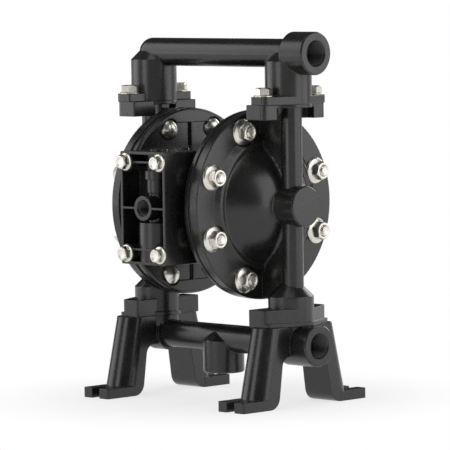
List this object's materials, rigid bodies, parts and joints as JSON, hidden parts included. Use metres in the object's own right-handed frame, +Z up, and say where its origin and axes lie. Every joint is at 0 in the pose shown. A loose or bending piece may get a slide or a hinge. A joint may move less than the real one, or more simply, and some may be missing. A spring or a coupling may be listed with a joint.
{
  "type": "air operated diaphragm pump",
  "caption": "Double diaphragm pump driven by compressed air, with moulded caps, ball check valves, two manifolds and slotted feet.",
  "frame": {"origin": "on the floor under the middle of the pump, where the planes of symmetry of the diaphragm rod and of the feet cross", "axes": "+X along the manifolds towards the two fluid ports, -Y towards the air valve and the air inlet, +Z up"},
  "size_m": [0.2007, 0.1967, 0.2911],
  "materials": {
    "housing": "satin black moulded polypropylene",
    "fasteners": "bright stainless steel",
    "inserts": "turned",
    "rubber": "matt moulded",
    "plates": "turned",
    "white_plastic": "moulded acetal and fluoropolymer",
    "spool_plastic": "moulded acetal",
    "muffler_plastic": "satin black",
    "porous": "sintered"
  },
  "bodies": {
    "housing": {"centre_body": "housing", "inlet_flange_bolts": "fasteners", "inlet_flange_inserts": "inserts", "inlet_tube": "housing", "left_air_cap": "housing", "left_cap_bolts": "fasteners", "left_cap_nuts": "fasteners", "left_cap_washers": "fasteners", "left_diaphragm": "rubber", "left_fluid_cap": "housing", "left_foot": "housing", "left_inlet_seat": "white_plastic", "left_inlet_seat_ring": "rubber", "left_outlet_seat": "white_plastic", "left_outlet_seat_ring": "rubber", "lower_spool_plug": "housing", "muffler_body": "muffler_plastic", "muffler_element": "porous", "outlet_flange_bolts": "fasteners", "outlet_flange_nuts": "fasteners", "outlet_manifold": "housing", "pilot_seals": "rubber", "right_air_cap": "housing", "right_cap_bolts": "fasteners", "right_cap_nuts": "fasteners", "right_cap_washers": "fasteners", "right_diaphragm": "rubber", "right_fluid_cap": "housing", "right_foot": "housing", "right_inlet_seat": "white_plastic", "right_inlet_seat_ring": "rubber", "right_outlet_seat": "white_plastic", "right_outlet_seat_ring": "rubber", "rod_bushings": "white_plastic", "rod_seals": "rubber", "tube_rings": "rubber", "upper_spool_plug": "housing", "valve_block": "housing", "valve_block_bolts": "fasteners", "valve_gasket": "rubber"},
    "rod_set": {"diaphragm_rod": "fasteners", "left_air_plate": "plates", "right_air_plate": "plates", "left_fluid_plate": "white_plastic", "right_fluid_plate": "white_plastic"},
    "pilot": {"pilot_rod": "fasteners"},
    "spool_set": {"spool": "spool_plastic", "spool_seal": "rubber"},
    "left_inlet_ball_body": {"left_inlet_ball": "white_plastic"},
    "left_outlet_ball_body": {"left_outlet_ball": "white_plastic"},
    "right_inlet_ball_body": {"right_inlet_ball": "white_plastic"},
    "right_outlet_ball_body": {"right_outlet_ball": "white_plastic"}
  },
  "joints": [
    {"name": "rod_slide", "type": "slide", "parent": "housing", "child": "rod_set", "axis": [1, 0, 0], "range_m": [-0.0065, 0.0065], "deforming": ["left_diaphragm", "right_diaphragm"]},
    {"name": "pilot_slide", "type": "slide", "parent": "housing", "child": "pilot", "axis": [1, 0, 0], "range_m": [-0.0026, 0.0026]},
    {"name": "spool_slide", "type": "slide", "parent": "housing", "child": "spool_set", "axis": [0, 0, 1], "range_m": [0, 0.006]},
    {"name": "left_inlet_ball_lift", "type": "slide", "parent": "housing", "child": "left_inlet_ball_body", "axis": [0, 0, 1], "range_m": [0, 0.006]},
    {"name": "left_outlet_ball_lift", "type": "slide", "parent": "housing", "child": "left_outlet_ball_body", "axis": [0, 0, 1], "range_m": [0, 0.006]},
    {"name": "right_inlet_ball_lift", "type": "slide", "parent": "housing", "child": "right_inlet_ball_body", "axis": [0, 0, 1], "range_m": [0, 0.006]},
    {"name": "right_outlet_ball_lift", "type": "slide", "parent": "housing", "child": "right_outlet_ball_body", "axis": [0, 0, 1], "range_m": [0, 0.006]}
  ],
  "couplings": [
    {"joint": "pilot_slide", "follows": "rod_slide", "ratio": 0.385}
  ]
}
